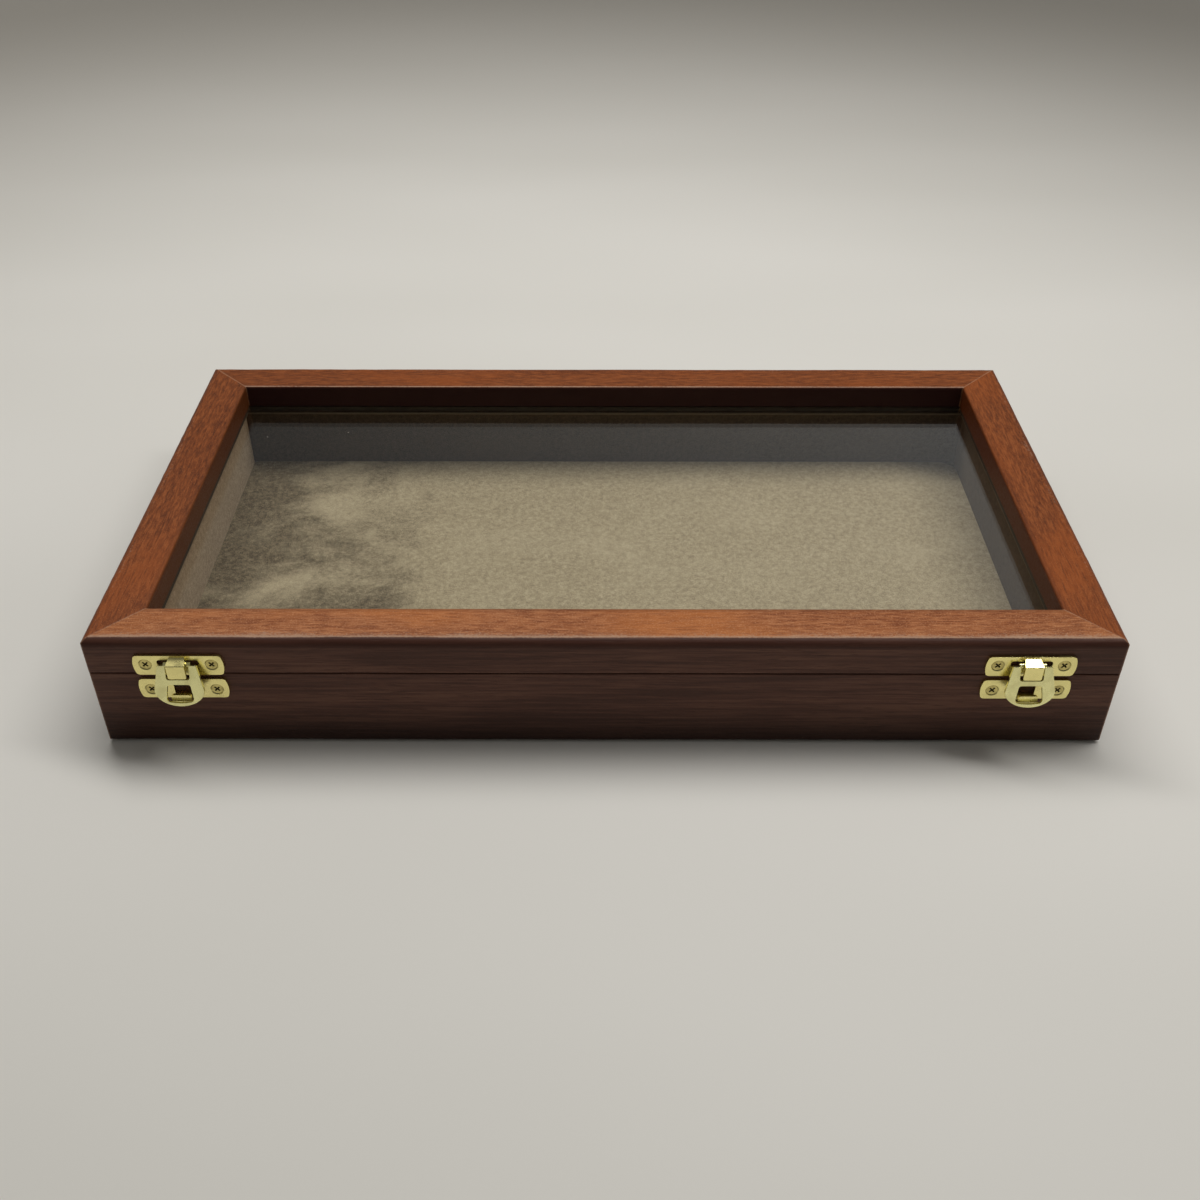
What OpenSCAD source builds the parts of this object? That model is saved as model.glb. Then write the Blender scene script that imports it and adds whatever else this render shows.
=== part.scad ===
/* [Case] */
// Overall width of the case, left to right
case_w = 300; // [260:1:400]
// Overall depth of the wooden case, front to back
case_d = 165; // [140:1:260]
// Height of the base frame
base_h = 27.2; // [26:0.1:40]
// Height of the lid frame
lid_h = 12; // [11:0.1:16]
// Gap between the base and the closed lid
parting_gap = 0.3; // [0.2:0.05:0.5]

/* [Rails] */
// Thickness of the base rails
wall_t = 11; // [10:0.1:11]
// Width of the lid rails, seen from above
lid_rail_w = 15.5; // [15:0.1:20]
// Radius of the lid's rounded outer top edge
lid_round = 2.2; // [1:0.1:3]
// Radius of the lid's eased inner top edge
lid_inner_round = 0.8; // [0.4:0.1:1.5]
// Radius of the base's eased bottom edge
foot_round = 2; // [1:0.1:2.5]
// Radius of the four upright outer corners
corner_round = 1; // [0.5:0.1:2]
// Width of the rabbet that holds the glass
glass_rabbet_w = 4.2; // [3.5:0.1:4.2]

/* [Glass] */
// Thickness of the glass pane
glass_t = 2; // [2:0.1:2.2]
// Distance from the lid's top face down to the glass
glass_drop = 8; // [7:0.1:8]
// Room around the glass in its rabbet
glass_room = 0.3; // [0.1:0.1:0.5]
// Height of the strips that hold the glass
bead_h = 1.7; // [1:0.1:1.7]
// Distance that the strips stand back from the edge of the opening
bead_setback = 0.5; // [0.2:0.1:1]

/* [Bottom and lining] */
// Thickness of the bottom panel
panel_t = 2.4; // [2:0.1:4]
// Width of the rabbet that holds the bottom panel
panel_rabbet_w = 5.2; // [4:0.1:6]
// Thickness of the card under the floor cloth
floor_card_t = 1.4; // [1:0.1:2]
// Thickness of the card under the wall cloths
wall_card_t = 1.6; // [1:0.1:2]
// Thickness of the cloth
cloth_t = 0.6; // [0.4:0.1:1]
// Distance from the base's rim down to the top of the wall linings
lining_drop = 0.6; // [0.3:0.1:2]

/* [Latches] */
// Distance of each latch from the middle of the case
latch_x = 122.8; // [80:0.1:130]
// Width of the latch plates
plate_w = 26.2; // [24:0.1:28]
// Height of the latch plates
plate_h = 7.05; // [7:0.05:8]
// Thickness of the latch plates
plate_t = 0.9; // [0.8:0.05:1]
// Distance between the two screws of a plate
screw_spacing = 19.1; // [18:0.1:20]
// Length of the lever from its pivot to its tip
lever_len = 13; // [12.9:0.1:13.3]
// Width of the lever at its pivot
lever_top_w = 11.4; // [11:0.1:12]
// Width of the lever at its widest place
lever_w = 14.4; // [14:0.1:15]
// Thickness of the lever
lever_t = 0.88; // [0.7:0.02:1]
// Angle by which the closed lever leans out
lever_lean = 15; // [15:0.5:17]
// Width of the strap that holds the lever
strap_w = 5.3; // [5:0.1:5.8]
// Width of the curled tongue on the catch plate
tongue_w = 5.7; // [5:0.1:6]

/* [Hinges] */
// Distance of each hinge from the middle of the case
hinge_x = 90; // [60:1:110]
// Width of a hinge
hinge_w = 25; // [22:0.5:30]
// Height of one hinge leaf, from the pin's axis
leaf_h = 9; // [8.5:0.1:10]
// Radius of the hinge barrel
barrel_r = 1.6; // [1.5:0.05:1.8]
// Radius of the hinge pin
pin_r = 0.7; // [0.6:0.05:0.8]

/* [Screws] */
// Radius of a screw's head
head_r = 1.72; // [1.5:0.02:1.8]
// Radius of a screw's shank
shank_r = 0.8; // [0.6:0.05:0.9]
// Length of a screw's shank
shank_len = 7; // [5:0.5:9]

/* [Hidden] */

wood = "saddlebrown";
dark_wood = "#5a3222";
card = "#8d8474";
suede = "#97876f";
brass = "#d8cf86";
// Length by which a cut runs past the solid, a small overlap, and the steps in a round stretch
cut = 1;
eps = 0.01;
curve_steps = 8;

// Heights
lid_z = base_h + parting_gap;
glass_z = lid_z + lid_h - glass_drop - glass_t;
bead_z = glass_z - bead_h;
floor_card_z = panel_t;
floor_cloth_z = floor_card_z + floor_card_t;
lining_z = floor_cloth_z + cloth_t;
lining_top = base_h - lining_drop;

// Distances inwards from the outer faces
rim_ease = 0.3;
rabbet_in = lid_rail_w - glass_rabbet_w;
panel_in = wall_t - panel_rabbet_w;
panel_room = 0.1;
card_room = 0.2;
card_in = wall_t + wall_card_t;
cloth_in = card_in + cloth_t;

// Latches: heights, and distances out from the front face
latch_plate_lift = 0.1;
catch_plate_drop = 1.3;
latch_screw_lift = 3.75;
catch_screw_lift = 3.1;
latch_plate_z = lid_z + latch_plate_lift;
catch_plate_z = base_h - catch_plate_drop - plate_h;
latch_screw_z = latch_plate_z + latch_screw_lift;
catch_screw_z = catch_plate_z + catch_screw_lift;
plate_bow = 0.75;
plate_corner = 1.7;
bar_r = 0.8;
arm_reach = 1;
arm_room = 0.05;
pivot_out = 1.6;
pivot_lift = 4.5;
pivot_z = latch_plate_z + pivot_lift;
slot_side_room = 0.35;
slot_half_w = lever_top_w / 2 + slot_side_room;
slot_half_h = arm_reach + arm_room;
slot_corner = 0.9;
strap_t = 0.8;
strap_out = 3.95;
strap_in = strap_out - strap_t;
strap_slope = 18;
strap_lift = 1.2;
strap_under = pivot_z + strap_lift;
strap_top = strap_under + strap_t / cos(strap_slope);
strap_bend = 0.3;
strap_root_w = 4.4;
flap_len = 3.6;
strap_tip = pivot_z - flap_len;
strap_corner = 0.6;
bar_seat = 0.5;
face_inset = 0.02;
arm_corner = 0.4;
arch_centre = 7.9;
window_w = 6.8;
upper_window_end = 4.5;
lower_window_start = 6.1;
lower_window_w = 7.8;
lower_window_corner = 1.2;
lower_window_bow = 0.25;
rim_w = 1.05;
window_corner = 0.8;
curl_r = 2;
curl_t = 0.8;
curl_out = 2.45;
curl_lift = 1.75;
curl_z = catch_plate_z + curl_lift;
curl_lip = 2.2;
curl_corner = 0.8;
catch_window_rim = 0.9;
catch_window_top = catch_plate_z + plate_h - catch_window_rim;

// Hinges
barrel_room = 0.1;
pin_out = barrel_r + barrel_room;
pin_z = base_h + parting_gap / 2;
leaf_t = 0.9;
knuckle_gap = 0.2;
middle_knuckle_share = 0.42;
middle_knuckle = hinge_w * middle_knuckle_share;
end_knuckle = (hinge_w - middle_knuckle) / 2 - knuckle_gap;
leaf_notch_room = 0.3;
leaf_notch = barrel_r + leaf_notch_room;
leaf_corner = 1.2;
leaf_screw_share = 0.32;
leaf_screw_x = hinge_w * leaf_screw_share;
leaf_screw_drop = 5.6;
pin_room = 0.05;
tight_room = 0.01;
pin_proud = 0.2;

// Screws
sink_r_back = 1;
sink_r_front = 2;
head_t = 0.66;
head_neck_r = 0.97;
pilot_room = 0.02;
tip_len = 1.5;
tip_r = 0.1;
cross_w = 0.5;
cross_len = 2;
cross_depth = 0.4;

// Points along a round stretch of an outline
function arc(cx, cy, r, from, to) =
    [for (i = [0:curve_steps])
        let (a = from + (to - from) * i / curve_steps)
        [cx + r * cos(a), cy + r * sin(a)]];

// A rectangle with round corners, from its lowest corner to its highest
function round_box(x0, y0, x1, y1, r) = concat(
    arc(x0 + r, y0 + r, r, 180, 270), arc(x1 - r, y0 + r, r, 270, 360),
    arc(x1 - r, y1 - r, r, 0, 90), arc(x0 + r, y1 - r, r, 90, 180));

// Section of a base rail: distance in from the outer face, and height
function base_section() = concat(
    arc(foot_round, foot_round, foot_round, 180, 270),
    [[panel_in, 0], [panel_in, panel_t], [wall_t, panel_t], [wall_t, base_h]],
    arc(rim_ease, base_h - rim_ease, rim_ease, 90, 180));

// Section of a lid rail
function lid_section() = let (top = lid_z + lid_h, lip = top - glass_drop) concat(
    arc(rim_ease, lid_z + rim_ease, rim_ease, 180, 270),
    [[rabbet_in, lid_z], [rabbet_in, lip], [lid_rail_w, lip]],
    arc(lid_rail_w - lid_inner_round, top - lid_inner_round, lid_inner_round, 0, 90),
    arc(lid_round, top - lid_round, lid_round, 90, 180));

// Section of a strip under the glass
function bead_section() = let (edge = lid_rail_w - bead_setback) [
    [rabbet_in, bead_z], [edge - rim_ease, bead_z], [edge, bead_z + rim_ease],
    [edge, glass_z], [rabbet_in, glass_z]];

// Section of a wall cloth, which lies on the card's face and folds over its top
function wall_cloth_section() = [
    [card_in, lining_z], [cloth_in, lining_z], [cloth_in, lining_top],
    [wall_t, lining_top], [wall_t, lining_top - cloth_t], [card_in, lining_top - cloth_t]];

// Extrudes a section along the front side of a frame, len long and across deep
module along(len, across, section) {
    translate([0, -across / 2, 0])
        rotate([90, 0, 90])
            linear_extrude(len, center = true) polygon(section);
}

// The same, cut to mitres at both ends, with the outer corners rounded
module mitred(len, across, section, reach) {
    intersection() {
        along(len + 2 * cut, across, section);
        linear_extrude(lid_z + lid_h + cut)
            polygon(concat(
                arc(-len / 2 + corner_round, -across / 2 + corner_round, corner_round, 225, 270),
                arc(len / 2 - corner_round, -across / 2 + corner_round, corner_round, 270, 315),
                [[len / 2 - reach, reach - across / 2], [reach - len / 2, reach - across / 2]]));
    }
}

// Turns a front piece to one of the four sides
module on_side(side) {
    turn = side == "front" ? 0 : side == "right" ? 90 : side == "back" ? 180 : 270;
    rotate([0, 0, turn]) children();
}

function side_len(side) = side == "front" || side == "back" ? case_w : case_d;
function side_across(side) = side == "front" || side == "back" ? case_d : case_w;

// Places a piece on the front face, at each latch
module at_latch(side) {
    translate([side * latch_x, -case_d / 2, 0]) children();
}

// Places a piece on the back face, at each hinge
module at_hinge(side) {
    rotate([0, 0, 180]) translate([-side * hinge_x, -case_d / 2, 0]) children();
}

// Stands a flat outline on the front face and thickens it outwards
module on_face(t) {
    rotate([90, 0, 0]) linear_extrude(t) children();
}

// Extrudes a section, given as distance out and height, across the front face
module across_face(w) {
    rotate([90, 0, -90]) linear_extrude(w, center = true) children();
}

// A countersunk screw with a cross recess, its axis along -Y
module screw() {
    rotate([90, 0, 0]) {
        translate([0, 0, -shank_len]) cylinder(r = shank_r, h = shank_len + eps, $fn = 24);
        translate([0, 0, -shank_len - tip_len])
            cylinder(r1 = tip_r, r2 = shank_r, h = tip_len, $fn = 24);
        difference() {
            cylinder(r1 = head_neck_r, r2 = head_r, h = head_t, $fn = 36);
            for (turn = [45, 135])
                rotate([0, 0, turn])
                    translate([-cross_len / 2, -cross_w / 2, head_t - cross_depth])
                        cube([cross_len, cross_w, cross_depth + cut]);
        }
    }
}

// The pilot hole that a screw turns into
module pilot() {
    rotate([90, 0, 0])
        translate([0, 0, -shank_len - tip_len - eps])
            cylinder(r = shank_r + pilot_room, h = shank_len + tip_len + cut, $fn = 24);
}

// The countersunk hole in a plate
module sink() {
    rotate([90, 0, 0]) {
        cylinder(r1 = sink_r_back, r2 = sink_r_front, h = plate_t, $fn = 36);
        translate([0, 0, -cut]) cylinder(r = sink_r_back, h = cut + eps, $fn = 36);
        translate([0, 0, plate_t - eps]) cylinder(r = sink_r_front, h = cut, $fn = 36);
    }
}

// Repeats a piece at the two screws of a latch plate
module at_plate_screws(z) {
    for (s = [-1, 1]) translate([s * screw_spacing / 2, 0, z]) children();
}

// Repeats a piece at the two screws of a hinge leaf; way is 1 on the lid and -1 on the base
module at_leaf_screws(way) {
    for (s = [-1, 1])
        translate([s * leaf_screw_x, 0, pin_z + way * leaf_screw_drop]) children();
}

// Base

module base_rail(side) {
    on_side(side) mitred(side_len(side), side_across(side), base_section(), wall_t + cut);
}

module base_front_rail() {
    color(dark_wood) difference() {
        base_rail("front");
        for (s = [-1, 1]) at_latch(s) at_plate_screws(catch_screw_z) pilot();
    }
}

module base_back_rail() {
    color(dark_wood) difference() {
        base_rail("back");
        for (s = [-1, 1]) at_hinge(s) at_leaf_screws(-1) pilot();
    }
}

module base_left_rail() {
    color(dark_wood) base_rail("left");
}

module base_right_rail() {
    color(dark_wood) base_rail("right");
}

// A flat board, inset from the outer faces of the case
module board(inset, z, t) {
    translate([inset - case_w / 2, inset - case_d / 2, z])
        cube([case_w - 2 * inset, case_d - 2 * inset, t]);
}

module bottom_panel() {
    color(wood) board(panel_in + panel_room, 0, panel_t);
}

module floor_card() {
    color(card) board(wall_t + card_room, floor_card_z, floor_card_t);
}

module floor_cloth() {
    color(suede) board(wall_t + card_room, floor_cloth_z, cloth_t);
}

// The long walls' linings run from wall to wall, and the short ones stand between them
function lining_len(side) =
    side == "front" || side == "back" ? case_w - 2 * wall_t : case_d - 2 * cloth_in;

module wall_card(side) {
    color(card) on_side(side)
        translate([-lining_len(side) / 2, wall_t - side_across(side) / 2, lining_z])
            cube([lining_len(side), wall_card_t, lining_top - cloth_t - lining_z]);
}

module wall_cloth(side) {
    color(suede) on_side(side)
        along(lining_len(side), side_across(side), wall_cloth_section());
}

// Latches

// Outline of a latch plate with bowed ends and round corners
module plate_outline(z) {
    half = plate_w / 2;
    bow_r = (plate_h * plate_h / 4 + plate_bow * plate_bow) / (2 * plate_bow);
    intersection() {
        polygon(round_box(-half, z, half, z + plate_h, plate_corner));
        union() {
            translate([half - bow_r, z + plate_h / 2]) circle(r = bow_r, $fn = 96);
            translate([bow_r - half, z + plate_h / 2]) circle(r = bow_r, $fn = 96);
            translate([bow_r - half, z]) square([plate_w - 2 * bow_r, plate_h]);
        }
    }
}

// Section of the strap: it leaves the plate above the slot, slopes down over the bar, folds and
// ends as an upright flap
function strap_section() = let (
        slope = tan(strap_slope),
        fold_z = strap_top - (strap_out - plate_t) * slope,
        bend_z = fold_z + strap_bend * (slope - 1 / cos(strap_slope)))
    concat(
        [[plate_t / 2, strap_under], [plate_t / 2, strap_top], [plate_t, strap_top]],
        arc(strap_out - strap_bend, bend_z, strap_bend, 90 - strap_slope, 0),
        [[strap_out, strap_tip], [strap_in, strap_tip],
         [strap_in, strap_under - (strap_in - plate_t) * slope],
         [plate_t, strap_under]]);

module strap() {
    root = strap_root_w / 2;
    half = strap_w / 2;
    intersection() {
        across_face(strap_w) polygon(strap_section());
        on_face(strap_out + cut)
            polygon(concat(
                arc(strap_corner - half, strap_tip + strap_corner, strap_corner, 180, 270),
                arc(half - strap_corner, strap_tip + strap_corner, strap_corner, 270, 360),
                [[half, strap_top + cut], [-half, strap_top + cut]]));
        translate([0, 0, strap_tip - cut])
            linear_extrude(strap_top - strap_tip + 2 * cut)
                polygon([[-root, 0], [-root, -plate_t], [-half, -strap_in], [-half, -strap_out - cut],
                    [half, -strap_out - cut], [half, -strap_in], [root, -plate_t], [root, 0]]);
    }
}

module latch_plate(side) {
    color(brass) at_latch(side) {
        difference() {
            on_face(plate_t) difference() {
                plate_outline(latch_plate_z);
                polygon(round_box(
                    -slot_half_w, pivot_z - slot_half_h, slot_half_w, pivot_z + slot_half_h, slot_corner));
            }
            at_plate_screws(latch_screw_z) sink();
        }
        strap();
    }
}

// Section of the curled tongue: it leaves the plate, turns down, under and up, and ends in a lip
function tongue_section() = concat(
    arc(curl_out, curl_z, curl_r, 180, 270),
    arc(curl_out, curl_z, curl_r, 270, 360),
    [[curl_out + curl_r, curl_z + curl_lip], [curl_out + curl_r - curl_t, curl_z + curl_lip]],
    arc(curl_out, curl_z, curl_r - curl_t, 360, 270),
    arc(curl_out, curl_z, curl_r - curl_t, 270, 180));

module tongue() {
    half = tongue_w / 2;
    tip = curl_z + curl_lip;
    intersection() {
        across_face(tongue_w) polygon(tongue_section());
        on_face(curl_out + curl_r + cut)
            polygon(concat(
                [[-half, curl_z - curl_r - cut], [half, curl_z - curl_r - cut]],
                arc(half - curl_corner, tip - curl_corner, curl_corner, 0, 90),
                arc(curl_corner - half, tip - curl_corner, curl_corner, 90, 180)));
    }
}

module catch_plate(side) {
    half = tongue_w / 2;
    color(brass) at_latch(side) {
        difference() {
            on_face(plate_t) difference() {
                plate_outline(catch_plate_z);
                translate([-half, curl_z]) square([tongue_w, catch_window_top - curl_z]);
            }
            at_plate_screws(catch_screw_z) sink();
        }
        tongue();
    }
}

// Outline of the lever, with its pivot at the origin and its tip downwards
module lever_outline() {
    half = lever_w / 2;
    top_half = lever_top_w / 2;
    difference() {
        polygon(concat(
            [for (i = [0:4 * curve_steps])
                let (a = 180 * i / (4 * curve_steps))
                [half * cos(a), -arch_centre - (lever_len - arch_centre) * sin(a)]],
            arc(arm_corner - top_half, -arm_corner, arm_corner, 180, 90),
            arc(top_half - arm_corner, -arm_corner, arm_corner, 90, 0)));
        upper_window();
        lower_window();
    }
}

// The window that the strap's flap stands in, open at the pivot
module upper_window() {
    half = window_w / 2;
    corner_z = window_corner - upper_window_end;
    polygon(concat(
        arc(window_corner - half, corner_z, window_corner, 180, 270),
        arc(half - window_corner, corner_z, window_corner, 270, 360),
        [[half, cut], [-half, cut]]));
}

// The window that the tongue stands in, wider and bowed at its foot
module lower_window() {
    top = window_w / 2 - window_corner;
    foot = lower_window_w / 2 - lower_window_corner;
    foot_z = rim_w + lower_window_bow - lever_len;
    polygon(concat(
        arc(-foot, foot_z + lower_window_corner, lower_window_corner, 180, 270),
        [for (i = [1:curve_steps - 1])
            let (share = 2 * i / curve_steps - 1)
            [foot * share, foot_z - lower_window_bow * (1 - share * share)]],
        arc(foot, foot_z + lower_window_corner, lower_window_corner, 270, 360),
        arc(top, -lower_window_start - window_corner, window_corner, 0, 90),
        arc(-top, -lower_window_start - window_corner, window_corner, 90, 180)));
}

// The lever: its two arms stand in the plate's slot, and the bar between them turns in the strap
module lever(side) {
    color(brass) at_latch(side)
        translate([0, -pivot_out, pivot_z]) {
            rotate([0, 90, 0])
                cylinder(r = bar_r, h = window_w + 2 * bar_seat, center = true, $fn = 48);
            rotate([-lever_lean, 0, 0])
                translate([0, lever_t + face_inset - arm_reach, 0]) on_face(lever_t) lever_outline();
        }
}

module catch_screws() {
    color(brass) for (s = [-1, 1]) at_latch(s) at_plate_screws(catch_screw_z) screw();
}

module latch_screws() {
    color(brass) for (s = [-1, 1]) at_latch(s) at_plate_screws(latch_screw_z) screw();
}

// Hinges

// A leaf and its knuckles; way is 1 on the lid and -1 on the base
module leaf(side, way) {
    color(brass) at_hinge(side) difference() {
        union() {
            difference() {
                on_face(leaf_t)
                    translate([0, pin_z]) mirror([0, way < 0 ? 1 : 0])
                        polygon(concat(
                            [[-hinge_w / 2, 0], [hinge_w / 2, 0]],
                            arc(hinge_w / 2 - leaf_corner, leaf_h - leaf_corner, leaf_corner, 0, 90),
                            arc(leaf_corner - hinge_w / 2, leaf_h - leaf_corner, leaf_corner, 90, 180)));
                knuckle_rooms(way);
            }
            knuckles(way);
        }
        at_leaf_screws(way) sink();
        pin_bore(way > 0 ? pin_room : tight_room);
    }
}

// The lid's leaf has the middle knuckle, and the base's leaf has the two at the ends
module knuckles(way) {
    if (way > 0) barrel(0, middle_knuckle, barrel_r);
    else for (s = [-1, 1]) barrel(s * (hinge_w - end_knuckle) / 2, end_knuckle, barrel_r);
}

// Room in a leaf for the other leaf's knuckles
module knuckle_rooms(way) {
    room = 2 * knuckle_gap;
    if (way < 0) barrel_block(0, middle_knuckle + room);
    else for (s = [-1, 1]) barrel_block(s * (hinge_w - end_knuckle + cut) / 2, end_knuckle + room + cut);
}

module barrel(x, w, r) {
    translate([x, -pin_out, pin_z]) rotate([0, 90, 0]) cylinder(r = r, h = w, center = true, $fn = 48);
}

module barrel_block(x, w) {
    translate([x - w / 2, -leaf_t - cut, pin_z - leaf_notch])
        cube([w, leaf_t + 2 * cut, 2 * leaf_notch]);
}

module pin_bore(room) {
    barrel(0, hinge_w + 2 * cut, pin_r + room);
}

module hinge_pin(side) {
    color(brass) at_hinge(side) barrel(0, hinge_w + 2 * pin_proud, pin_r);
}

module hinge_base_screws() {
    color(brass) for (s = [-1, 1]) at_hinge(s) at_leaf_screws(-1) screw();
}

module hinge_lid_screws() {
    color(brass) for (s = [-1, 1]) at_hinge(s) at_leaf_screws(1) screw();
}

// Lid

module lid_rail(side) {
    on_side(side) mitred(side_len(side), side_across(side), lid_section(), lid_rail_w + cut);
}

module lid_front_rail() {
    color(wood) difference() {
        lid_rail("front");
        for (s = [-1, 1]) at_latch(s) at_plate_screws(latch_screw_z) pilot();
    }
}

module lid_back_rail() {
    color(wood) difference() {
        lid_rail("back");
        for (s = [-1, 1]) at_hinge(s) at_leaf_screws(1) pilot();
    }
}

module lid_left_rail() {
    color(wood) lid_rail("left");
}

module lid_right_rail() {
    color(wood) lid_rail("right");
}

module glass_pane() {
    color("lightcyan", 0.3) board(rabbet_in + glass_room, glass_z, glass_t);
}

module glass_bead(side) {
    color(dark_wood) on_side(side)
        mitred(side_len(side), side_across(side), bead_section(), lid_rail_w + cut);
}

base_front_rail();
base_back_rail();
base_left_rail();
base_right_rail();
bottom_panel();
floor_card();
floor_cloth();
wall_card("front");  // front_wall_card
wall_card("back");  // back_wall_card
wall_card("left");  // left_wall_card
wall_card("right");  // right_wall_card
wall_cloth("front");  // front_wall_cloth
wall_cloth("back");  // back_wall_cloth
wall_cloth("left");  // left_wall_cloth
wall_cloth("right");  // right_wall_cloth
catch_plate(-1);  // left_catch_plate
catch_plate(1);  // right_catch_plate
catch_screws();
leaf(-1, -1);  // left_hinge_base_leaf
leaf(1, -1);  // right_hinge_base_leaf
hinge_pin(-1);  // left_hinge_pin
hinge_pin(1);  // right_hinge_pin
hinge_base_screws();
lid_front_rail();
lid_back_rail();
lid_left_rail();
lid_right_rail();
glass_pane();
glass_bead("front");  // front_glass_bead
glass_bead("back");  // back_glass_bead
glass_bead("left");  // left_glass_bead
glass_bead("right");  // right_glass_bead
latch_plate(-1);  // left_latch_plate
latch_plate(1);  // right_latch_plate
latch_screws();
leaf(-1, 1);  // left_hinge_lid_leaf
leaf(1, 1);  // right_hinge_lid_leaf
hinge_lid_screws();
lever(-1);  // left_lever
lever(1);  // right_lever
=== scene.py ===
"""The looks of a glazed wooden display case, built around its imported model, in metres.

X runs to the right, Y away from the latches, and Z up. Sizes in this file are in millimetres
until a mesh is made.
"""

import math

import bmesh
import bpy
import numpy as np
from mathutils import Matrix


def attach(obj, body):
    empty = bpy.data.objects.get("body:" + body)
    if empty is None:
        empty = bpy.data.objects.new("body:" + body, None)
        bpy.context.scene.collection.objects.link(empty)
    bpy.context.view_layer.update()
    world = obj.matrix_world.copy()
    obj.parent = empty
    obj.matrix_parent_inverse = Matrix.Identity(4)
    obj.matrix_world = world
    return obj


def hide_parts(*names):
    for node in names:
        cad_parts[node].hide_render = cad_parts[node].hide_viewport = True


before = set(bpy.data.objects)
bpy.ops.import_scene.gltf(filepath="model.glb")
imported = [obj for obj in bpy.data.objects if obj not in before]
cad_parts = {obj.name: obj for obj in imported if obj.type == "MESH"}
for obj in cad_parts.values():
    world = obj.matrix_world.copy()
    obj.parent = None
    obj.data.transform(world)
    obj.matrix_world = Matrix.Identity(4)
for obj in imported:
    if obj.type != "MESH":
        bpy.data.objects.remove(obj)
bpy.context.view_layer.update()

MM = 0.001

# Case
CASE_W, CASE_D = 300.0, 165.0
BASE_TOP, LID_LOW, LID_TOP = 27.2, 27.5, 39.5
WALL, LID_RAIL = 11.0, 15.5
CORNER_ROUND = 1.0
PANEL_IN, PANEL_T = 5.8, 2.4
GLASS_LOW, GLASS_TOP = 29.5, 31.5
RABBET_IN = 11.3
BEAD_LOW, BEAD_IN = 27.8, 15.0

# Lining
CARD_FACE, CLOTH_FACE = 12.6, 13.2
CLOTH_LOW, CLOTH_TOP, CLOTH_T = 4.4, 26.6, 0.6
FLOOR_HALF = (138.8, 71.3)
FLOOR_LOW = 3.8

# Brass parts
LATCH_X = 122.8
HINGE_X, HINGE_Z = 90.0, 27.35

SIDES = ("front", "right", "back", "left")


# Colours and nodes

def paint(red, green, blue):
    """A colour as a screen shows it, from 0 to 255, turned to the light it stands for."""
    channels = np.array([red, green, blue]) / 255
    light = np.where(channels <= 0.04045, channels / 12.92, ((channels + 0.055) / 1.055) ** 2.4)
    return (*light.tolist(), 1.0)


class Finish:
    """A material and the nodes that make it."""

    def __init__(self, name, **surface):
        self.material = bpy.data.materials.new(name)
        self.material.use_nodes = True
        self.tree = self.material.node_tree
        self.shader = self.tree.nodes["Principled BSDF"]
        self.output = self.tree.nodes["Material Output"]
        self.place = self.add("ShaderNodeTexCoord").outputs["Object"]
        self.set(self.shader, surface)

    def set(self, node, inputs):
        for key, value in inputs.items():
            socket = node.inputs[key]
            if isinstance(value, bpy.types.NodeSocket):
                self.tree.links.new(value, socket)
            else:
                socket.default_value = value

    def add(self, kind, inputs=None, **settings):
        node = self.tree.nodes.new(kind)
        for key, value in settings.items():
            setattr(node, key, value)
        self.set(node, inputs or {})
        return node

    def scaled(self, scale, shift=(0, 0, 0)):
        """The place on the piece, times scale, plus shift."""
        inputs = {"Vector": self.place, "Scale": scale, "Location": shift}
        return self.add("ShaderNodeMapping", inputs).outputs["Vector"]

    def noise(self, scale, shift=(0, 0, 0), detail=2.0, rough=0.5, warp=0.0):
        inputs = {"Vector": self.scaled(scale, shift), "Scale": 1.0, "Detail": detail,
                  "Roughness": rough, "Distortion": warp}
        return self.add("ShaderNodeTexNoise", inputs).outputs["Fac"]

    def attribute(self, name):
        return self.add("ShaderNodeAttribute", attribute_name=name).outputs["Fac"]

    def split(self):
        """The place on the piece as its X, Y and Z."""
        return self.add("ShaderNodeSeparateXYZ", {"Vector": self.place}).outputs

    def maths(self, operation, *values):
        node = self.add("ShaderNodeMath", operation=operation)
        self.set(node, dict(enumerate(values)))
        return node.outputs[0]

    def away(self, value, distance):
        """How far the size of value is past a distance given in millimetres."""
        return self.maths("SUBTRACT", self.maths("ABSOLUTE", value), distance * MM)

    def between(self, value, low, high, out_low=0.0, out_high=1.0):
        """Value taken from the range low to high into the range out_low to out_high, with soft ends."""
        inputs = {"Value": value, "From Min": low, "From Max": high,
                  "To Min": out_low, "To Max": out_high}
        node = self.add("ShaderNodeMapRange", inputs, interpolation_type="SMOOTHSTEP")
        return node.outputs["Result"]

    def mix(self, share, first, second):
        node = self.add("ShaderNodeMix", data_type="RGBA")
        self.set(node, {0: share, 6: first, 7: second})
        return node.outputs[2]

    def ramp(self, value, *stops):
        node = self.add("ShaderNodeValToRGB", {"Fac": value})
        elements = node.color_ramp.elements
        while len(elements) < len(stops):
            elements.new(0.5)
        for element, (position, colour) in zip(elements, stops):
            element.position, element.color = position, colour
        return node.outputs["Color"]

    def bump(self, height, distance, strength):
        inputs = {"Height": height, "Distance": distance, "Strength": strength}
        return self.add("ShaderNodeBump", inputs).outputs["Normal"]


# Finishes

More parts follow.
